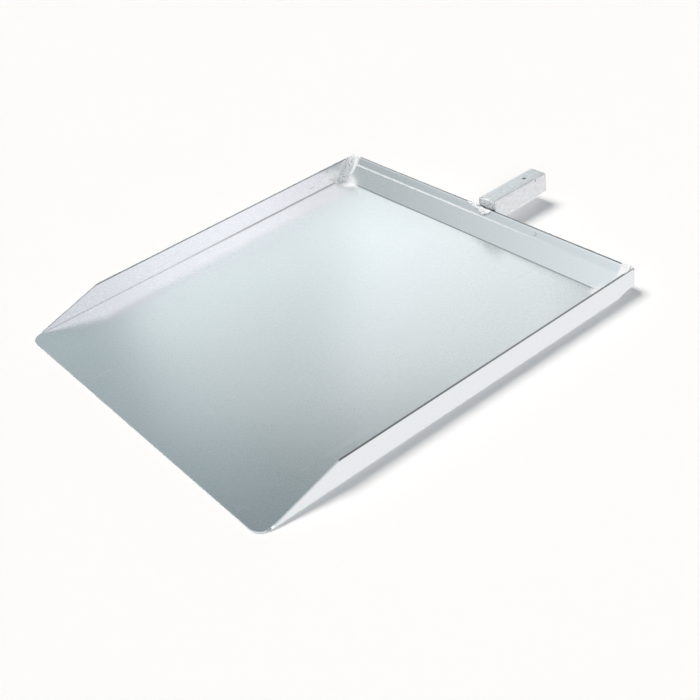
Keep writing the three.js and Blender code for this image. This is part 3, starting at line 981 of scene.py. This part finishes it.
def ground_zone(graph, places, speck, cloud, fold_y, settings):
    """Share of bright ground metal: round patches where the back wall meets the side walls and the floor."""
    y, z, aside = places
    wall_face = PAN_HIGH.x - settings.thickness
    from_wall = aside - wall_face
    up_corner = y - fold_y - (z - settings.thickness) * CORNER_LEAN
    reach = (from_wall * from_wall + up_corner * up_corner) ** 0.5 + (speck - 0.5) * (8 * MM)
    patch_place = (wall_face - 8 * MM, fold_y - 2 * MM, 0.0)
    floor_patch = graph.near(graph.joined(aside, y, z), patch_place, (30 * MM, 12.5 * MM, 20 * MM))
    ground = reach.ramp(15.5 * MM, 11.5 * MM)
    ground = ground.most((floor_patch + (cloud - 0.5) * 0.8).ramp(1.05, 0.6) * 0.9)
    ground = ground * y.ramp(fold_y - 22 * MM, fold_y - 12 * MM)
    ground = ground * y.ramp(PAN_HIGH.y - 0.5 * MM, PAN_HIGH.y - 1.5 * MM)
    return ground * aside.ramp(PAN_HIGH.x - 0.6 * MM, PAN_HIGH.x - 1.4 * MM)


def painted_crease_highlight(graph, place, places, fold_y, settings):
    """Share of the painted highlight: a bright beaded line along the back wall's crease. It fades towards the
    right.
    """
    x, y, z, aside = places
    wall_face = PAN_HIGH.x - settings.thickness
    crease_y = fold_y + settings.crease_run - 0.9 * MM
    beads = graph.noise(graph.scaled(place, 1.0, 0.2, 0.2), 420.0, 2.0, 0.6)
    crease = graph.band(y, crease_y, 0.5 * MM, 0.4 * MM) * z.ramp(15 * MM, 18 * MM) * z.ramp(24 * MM, 22 * MM)
    crease = crease * aside.ramp(wall_face, wall_face - 2 * MM) * x.ramp(0.19, -0.05)
    return crease * (beads.ramp(0.32, 0.5) * 0.55 + 0.45)


def painted_shade_and_marks(graph, place, places, fold_y, settings):
    """Share of dark colour: painted shade in the folds, along the cut edges and the rim's edge, and the marks
    of a nick and a stroke.
    """
    x, y, z, aside = places
    wall_face = PAN_HIGH.x - settings.thickness
    # Painted shade in the back fold, the rear parts of the side folds, and along the top, rim and front
    # edges.
    fold_shade = graph.band(y, fold_y + 0.2 * MM, 0.35 * MM, 0.6 * MM) * z.ramp(4.2 * MM, 3.4 * MM)
    fold_shade = fold_shade * aside.ramp(wall_face, wall_face - 1 * MM)
    side_fold_shade = graph.band(aside, wall_face - 0.1 * MM, 0.25 * MM, 0.5 * MM) * z.ramp(3.6 * MM, 3.0 * MM)
    side_fold_shade = side_fold_shade * z.ramp(1.2 * MM, 1.8 * MM) * y.ramp(-0.12, 0.06)
    top_edge_shade = z.ramp(PAN_HIGH.z - 0.9 * MM, PAN_HIGH.z - 0.4 * MM)
    top_edge_shade = top_edge_shade * aside.ramp(wall_face - 0.5 * MM, wall_face)
    top_edge_shade = top_edge_shade * y.ramp(PAN_HIGH.y - 3 * MM, PAN_HIGH.y - 5 * MM)
    rim_edge_shade = y.ramp(PAN_HIGH.y - 4.2 * MM, PAN_HIGH.y - 3.0 * MM)
    rim_edge_shade = rim_edge_shade * z.ramp(PAN_HIGH.z - 3 * MM, PAN_HIGH.z - 1.6 * MM)
    front_edge_shade = y.ramp(PAN_LOW.y + 0.12 * MM, PAN_LOW.y + 0.02 * MM)
    nick = graph.band(graph.near(place, NICK_PLACE, NICK_SIZE), 0.85, 0.06, 0.14)
    nick = nick * x.ramp(NICK_PLACE[0] - 1.2 * MM, NICK_PLACE[0] + 1.3 * MM)
    stroke = graph.near(place, STROKE_PLACE, STROKE_SIZE).ramp(1.0, 0.5)
    dark = (fold_shade * 0.6).most(side_fold_shade * 0.5).most(top_edge_shade * 0.75).most(front_edge_shade * 0.4)
    return dark.most(rim_edge_shade * 0.85).most(nick * 0.55).most(stroke * 0.25)


def rolled_sheet(settings):
    """Satin mill finish: long fine grain, a cloudy sheen and light scuffs.

    Folds and cut edges are painted a little darker as shade, and so is the rim's edge; the floor's front
    right corner is painted darker in place of a darker reflection, the crease shows as a painted bright
    beaded highlight, and the metal round the corner welds is ground bright.
    """
    fold_y = PAN_HIGH.y - settings.back_depth
    wall_face = PAN_HIGH.x - settings.thickness

    def sockets_of(graph):
        place = graph.place()
        x, y, z = graph.parts(place)
        aside = abs(x)
        places = (x, y, z, aside)
        grain = graph.noise(graph.scaled(place, 1.0, 0.14, 1.0), 1500.0, 3.0, 0.6)
        speck = graph.noise(place, 620.0, 2.0, 0.6)
        cloud = graph.noise(place, 14.0, 3.0, 0.55)
        scuff = graph.noise(graph.scaled(place, 1.0, 0.035, 1.0), 240.0, 2.0, 0.5)
        scuffs = scuff.ramp(0.64, 0.72) * graph.noise(place, 26.0, 1.0).ramp(0.5, 0.62)
        ground = ground_zone(graph, (y, z, aside), speck, cloud, fold_y, settings)
        crease = painted_crease_highlight(graph, place, places, fold_y, settings)
        # dark: painted shade in the folds and at the edges, with the nick and the stroke; none on the ground
        # metal.
        dark = painted_shade_and_marks(graph, place, places, fold_y, settings) * (1 - ground)
        # bright joins the ground metal round the corner welds with the painted highlight along the crease.
        bright = ground.most(crease)
        # Painted shade: the floor darkens towards its front right corner, standing in for a darker
        # reflection.
        painted_corner_shade = y.ramp(-0.12, -0.31) * x.ramp(-0.2, 0.25) * aside.ramp(wall_face + 1 * MM, wall_face)

        mottle = ((speck - 0.5) * 0.10 + (grain - 0.5) * 0.10 + (cloud - 0.5) * 0.07 + 0.5).ramp(0.3, 0.7)
        tint = graph.blend(mottle, shade(settings.tint, 0.95), shade(settings.tint, 1.04))
        tint = graph.blend(painted_corner_shade, tint, PAINTED_CORNER_SHADE_TINT)
        tint = graph.blend(dark, tint, shade(settings.tint, 0.12))
        tint = graph.blend(bright, tint, GROUND_METAL_AND_HIGHLIGHT_TINT)
        roughness = settings.roughness + (grain - 0.5) * 0.08 + (cloud - 0.5) * 0.06
        roughness = roughness + scuffs * 0.06 + bright * 0.12
        normal = graph.bump(grain * 0.6 + speck * 0.4 + ground * speck * 2.0, 0.04 * MM, 0.35)
        normal = graph.bump(crease, 0.25 * MM, 0.6, normal)
        return {"Base Color": tint, "Metallic": 1 - bright * 0.8, "Roughness": roughness, "Normal": normal}

    return metal("rolled_sheet", sockets_of)


def extruded_tube(settings):
    """Extruded satin: draw lines along the tube, a mottled oxide bloom and a small nick in one side."""
    nick_y = TUBE_HIGH.y - 17 * MM

    def sockets_of(graph):
        place = graph.place()
        x, y, z = graph.parts(place)
        lines = graph.noise(graph.scaled(place, 1.0, 0.02, 1.0), 2600.0, 2.0, 0.6)
        bloom = graph.noise(place, 210.0, 4.0, 0.65)
        nick_place = (TUBE_HIGH.x, nick_y, TUBE_HIGH.z - 2.6 * MM)
        nick = graph.near(place, nick_place, (1.0 * MM, 0.8 * MM, 2.1 * MM)).ramp(1.1, 0.5)
        mottle = ((bloom - 0.5) * 0.5 + (lines - 0.5) * 0.2 + 0.5).ramp(0.3, 0.7)
        tint = graph.blend(mottle, shade(settings.tint, 0.78), shade(settings.tint, 1.06))
        # Painted shade: thin dark outlines along the top's left edge and round the open end.
        left_edge_shade = x.ramp(TUBE_LOW.x + 0.9 * MM, TUBE_LOW.x + 0.3 * MM)
        left_edge_shade = left_edge_shade * z.ramp(TUBE_HIGH.z - 2 * MM, TUBE_HIGH.z - 0.8 * MM)
        end_edge_shade = y.ramp(TUBE_HIGH.y - 0.9 * MM, TUBE_HIGH.y - 0.3 * MM)
        tint = graph.blend(left_edge_shade.most(end_edge_shade) * 0.65, tint, shade(settings.tint, 0.1))
        tint = graph.blend(nick * 0.75, tint, shade(settings.tint, 0.1))
        roughness = settings.roughness + (lines - 0.5) * 0.12 + (bloom - 0.5) * 0.12
        normal = graph.bump(lines * 0.7 + bloom * 0.3 - nick * 4.0, 0.05 * MM, 0.4)
        return {"Base Color": tint, "Roughness": roughness, "Normal": normal}

    return metal("extruded_tube", sockets_of)


def dressed_weld(settings):
    """Ground weld metal: bright, with short grinding lines, and pits painted dark as shade."""

    def sockets_of(graph):
        place = graph.place()
        lines = graph.noise(graph.scaled(place, 1.0, 1.0, 0.25), 1500.0, 2.0, 0.6)
        pits = graph.noise(place, 620.0, 3.0, 0.6).ramp(0.43, 0.36)
        # Painted shade: the pits are painted dark.
        bright = graph.blend(pits, shade(settings.tint, 1.0), shade(settings.tint, 0.25))
        roughness = settings.roughness + (lines - 0.5) * 0.2 + pits * 0.2
        normal = graph.bump(lines * 0.5 - pits, 0.2 * MM, 0.6)
        return {"Base Color": bright, "Metallic": 0.12 + pits * 0.7, "Roughness": roughness, "Normal": normal}

    return metal("dressed_weld", sockets_of)


def weld_bead(settings):
    """Weld metal as laid: bright, with fine ripples and small pits painted dark as the shade between the
    ripples.
    """

    def sockets_of(graph):
        place = graph.place()
        grit = graph.noise(place, 1300.0, 3.0, 0.6)
        pits = graph.noise(place, 480.0, 3.0, 0.6).ramp(0.44, 0.37)
        # Painted shade: the pits are painted dark, standing in for the shade between ripples and beads.
        bright = graph.blend(pits, shade(settings.tint, 1.0), shade(settings.tint, 0.3))
        roughness = settings.roughness + (grit - 0.5) * 0.25 + pits * 0.2
        normal = graph.bump(grit * 0.4 - pits, 0.18 * MM, 0.6)
        return {"Base Color": bright, "Metallic": 0.12 + pits * 0.7, "Roughness": roughness, "Normal": normal}

    return metal("weld_bead", sockets_of)


# ---- stage ---------------------------------------------------------------------------------------


def heading(azimuth, elevation):
    """Unit vector at a compass angle from +Y towards +X and a height above the ground."""
    flat = math.cos(elevation)
    return Vector((math.sin(azimuth) * flat, math.cos(azimuth) * flat, math.sin(elevation)))


# Soft lobes of the sky that the metal mirrors. Each has its turn from +Y towards +X and its height, in
# degrees, its sharpness and its light.
SKY_LOBES = (
    (-157.5, 10, 12, (0.96, 1.02, 1.04)),
    (-67.5, 10, 12, (0.84, 1.00, 1.04)),
    (67.5, 10, 12, (0.72, 0.75, 0.86)),
    (-135, 36, 12, (0.10, 0.13, 0.14)),
    (45, 36, 12, (0.80, 0.70, 0.68)),
    (5, 25, 8, (0.66, 0.68, 0.69)),
    (135, 25, 5, (0.72, 0.74, 0.75)),
    (-135, 65, 10, (1.66, 1.70, 1.74)),
)

# Soft cards near the pan: name, turn in degrees, distance from the pan, shift sideways, height, light.
CARDS = (
    ("low_card", -58, 0.75, 0.2, 0.2, 0.28),
    ("middle_card", -58, 0.75, 0.2, 0.55, 0.60),
    ("right_card", -58, 0.75, 0.6, 0.6, 0.58),
    ("left_low_card", -58, 0.75, -0.2, 0.2, 0.24),
    ("left_card", -58, 0.75, -0.2, 0.52, 0.30),
    ("side_card", 58, 0.90, 0.0, 0.5, 0.46),
    ("side_high_card", 58, 0.90, 0.0, 0.9, 0.74),
    ("side_far_card", 58, 0.90, 0.4, 0.9, 0.59),
)
CARD_SIDE = 0.42
LIGHT_AIM = Vector((0.0, -0.05, 0.0))
LIGHT_DISTANCE = 3.0
FILL_SPREAD = math.radians(150)
CAMERA_AIM = Vector((0.0808, -0.0641, 0.0))
FLOOR_CELLS = 8
WALL_RINGS = 30
WALL_SIDES = 96
BACKDROP_TINT = (0.97, 0.975, 0.975, 1.0)


def studio_sky(settings):
    """The sky that the metal mirrors: soft lobes above the horizon and one even light below it.

    Each lobe is e to the power of its sharpness times the cosine to its middle less 1.
    """
    world = bpy.data.worlds.new("studio_sky")
    bpy.context.scene.world = world
    world.use_nodes = True
    world.cycles_visibility.diffuse = False
    graph = Graph(world.node_tree)
    way = graph.add("ShaderNodeTexCoord", {}, {}, "Generated")
    height = graph.parts(way)[2]
    above = height.math("GREATER_THAN", height, 0.0)
    light = graph.blend(above, shade(settings.below_light, 1.0), (0.0, 0.0, 0.0, 1.0))
    for azimuth, elevation, sharpness, tint in SKY_LOBES:
        middle = heading(math.radians(azimuth), math.radians(elevation))
        cosine = graph.add("ShaderNodeVectorMath", {"operation": "DOT_PRODUCT"}, {0: way, 1: middle}, "Value")
        lobe = cosine.math("EXPONENT", (cosine - 1) * sharpness) * above
        tinted = graph.add("ShaderNodeVectorMath", {"operation": "SCALE"}, {0: tint, "Scale": lobe})
        light = graph.add("ShaderNodeVectorMath", {"operation": "ADD"}, {0: light, 1: tinted})
    glow = graph.add("ShaderNodeBackground", {}, {"Color": light, "Strength": 1.0})
    graph.end("ShaderNodeOutputWorld", glow)


def put_light(name, data, place, tint, on_metal):
    """Adds a light at a place, turned to the pan. It lights either the metal or the floor."""
    data.color = tint
    light = bpy.data.objects.new(name, data)
    light.visible_glossy = on_metal
    light.visible_diffuse = not on_metal
    light.location = place
    light.rotation_euler = (place - LIGHT_AIM).to_track_quat("Z", "Y").to_euler()
    bpy.context.scene.collection.objects.link(light)


def floor_light(name, azimuth, elevation, spread, tint, strength):
    """A wide sun that lights the floor and the ground welds, and isn't mirrored."""
    data = bpy.data.lights.new(name, "SUN")
    data.angle = spread
    data.energy = strength
    put_light(name, data, heading(azimuth, elevation) * LIGHT_DISTANCE, tint, False)


def soft_card(name, azimuth, distance, shift, height, light):
    """A square card whose surface gives the light named: its power is pi times its area times that light."""
    turn = math.radians(azimuth)
    data = bpy.data.lights.new(name, "AREA")
    data.shape = "SQUARE"
    data.size = CARD_SIDE
    data.energy = math.pi * CARD_SIDE**2 * light
    sideways = Vector((math.cos(turn), -math.sin(turn), 0))
    place = heading(turn, 0) * distance + sideways * shift + Vector((0, 0, height))
    put_light(name, data, place, (1, 1, 1), True)


def studio_camera(settings):
    """The camera looks at the point where its axis meets the ground, from a turn, a height and a lean."""
    azimuth, elevation, roll = settings.azimuth, settings.elevation, settings.roll
    back = Vector((
        math.sin(azimuth) * math.cos(elevation), -math.cos(azimuth) * math.cos(elevation), math.sin(elevation)
    ))
    level = Vector((math.cos(azimuth), math.sin(azimuth), 0))
    upward = back.cross(level)
    right = level * math.cos(roll) + upward * math.sin(roll)
    up = back.cross(right)
    data = bpy.data.cameras.new("studio_camera")
    data.lens = settings.lens
    data.sensor_width = 36.0
    camera = bpy.data.objects.new("studio_camera", data)
    turn = Matrix((right, up, back)).transposed().to_4x4()
    camera.matrix_world = Matrix.Translation(CAMERA_AIM + back * settings.distance) @ turn
    bpy.context.scene.collection.objects.link(camera)
    bpy.context.scene.camera = camera


def matt(name, tint):
    """A plain matt material with a very faint unevenness."""
    material, graph = new_material(name)
    even = graph.blend(graph.noise(graph.place(), 3.0), shade(tint, 0.995), shade(tint, 1.0))
    graph.end("ShaderNodeOutputMaterial", graph.add("ShaderNodeBsdfDiffuse", {}, {"Color": even}))
    return material


def pale_floor(settings):
    """A flat square floor under the pan. The metal mirrors the light from below instead of it."""
    half = settings.floor_size / 2
    side = np.linspace(-half, half, FLOOR_CELLS + 1)
    x, y = np.meshgrid(side, side)
    points = np.stack([x, y, np.full_like(x, CAD_BOX[0].z)], -1).reshape(-1, 3)
    floor = put_piece("pale_floor", points, grid_quads(np.arange(x.size).reshape(x.shape)))
    floor.data.materials.append(matt("pale_floor", settings.floor_tint))
    floor.visible_glossy = False


def pale_backdrop(settings):
    """A wall behind everything that only the camera sees: rings rise and close in as a half ball."""
    turn = np.linspace(0, 2 * np.pi, WALL_SIDES, endpoint=False)
    lift = np.linspace(-0.06, np.pi / 2 - 0.02, WALL_RINGS)
    radius = settings.backdrop_radius
    points = radius * np.stack([
        np.cos(lift)[:, None] * np.cos(turn),
        np.cos(lift)[:, None] * np.sin(turn),
        np.broadcast_to(np.sin(lift)[:, None], (WALL_RINGS, WALL_SIDES)),
    ], -1)
    numbers = wrapped(np.arange(WALL_RINGS * WALL_SIDES).reshape(WALL_RINGS, WALL_SIDES), 1)
    wall = put_piece("pale_backdrop", points.reshape(-1, 3), grid_quads(numbers))
    material, graph = new_material("pale_backdrop")
    glow = graph.add("ShaderNodeEmission", {}, {"Color": BACKDROP_TINT, "Strength": 1.0})
    graph.end("ShaderNodeOutputMaterial", glow)
    wall.data.materials.append(material)
    wall.visible_glossy = False
    wall.visible_diffuse = False
    wall.visible_shadow = False


class MUDPAN_OT_stage(bpy.types.Operator):
    """Makes the pale floor, the soft studio light and the camera"""

    bl_idname = "mudpan.stage"
    bl_label = "Stage"

    def execute(self, context):
        settings = context.scene.mud_pan_stage
        pale_floor(settings)
        pale_backdrop(settings)
        studio_sky(settings)
        floor_light(
            "key", settings.key_azimuth, settings.key_elevation, settings.key_spread,
            settings.key_tint, settings.key_strength,
        )
        floor_light("fill", 0.0, math.pi / 2, FILL_SPREAD, settings.fill_tint, settings.fill_strength)
        floor_light(
            "front", math.pi - settings.azimuth, settings.elevation, settings.key_spread,
            settings.fill_tint, settings.front_strength,
        )
        for card in CARDS:
            soft_card(*card)
        studio_camera(settings)
        context.scene.view_settings.view_transform = "Standard"
        return {"FINISHED"}


# ---- add-on --------------------------------------------------------------------------------------


class MUDPAN_PT_sidebar(bpy.types.Panel):
    """Lists the pan's pieces and their settings"""

    bl_idname = "MUDPAN_PT_sidebar"
    bl_label = "Mud Pan"
    bl_space_type = "VIEW_3D"
    bl_region_type = "UI"
    bl_category = "Mud Pan"

    def draw(self, context):
        layout = self.layout
        for operator in OPERATORS:
            layout.operator(operator.bl_idname)
        for name, group in SETTINGS.items():
            box = layout.box()
            box.label(text=group.__doc__)
            for key in group.__annotations__:
                box.prop(getattr(context.scene, name), key)


OPERATORS = (
    MUDPAN_OT_folded_sheet,
    MUDPAN_OT_grip_tube,
    MUDPAN_OT_corner_welds,
    MUDPAN_OT_grip_welds,
    MUDPAN_OT_stage,
)


def register():
    for made in (*SETTINGS.values(), *OPERATORS, MUDPAN_PT_sidebar):
        bpy.utils.register_class(made)
    for name, group in SETTINGS.items():
        setattr(bpy.types.Scene, name, bpy.props.PointerProperty(type=group))


def unregister():
    for name in SETTINGS:
        delattr(bpy.types.Scene, name)
    for made in (MUDPAN_PT_sidebar, *OPERATORS, *SETTINGS.values()):
        bpy.utils.unregister_class(made)


def main():
    register()
    bpy.ops.mudpan.folded_sheet()
    bpy.ops.mudpan.grip_tube()
    bpy.ops.mudpan.corner_welds()
    bpy.ops.mudpan.grip_welds()
    bpy.ops.mudpan.stage()


if __name__ == "__main__":
    main()
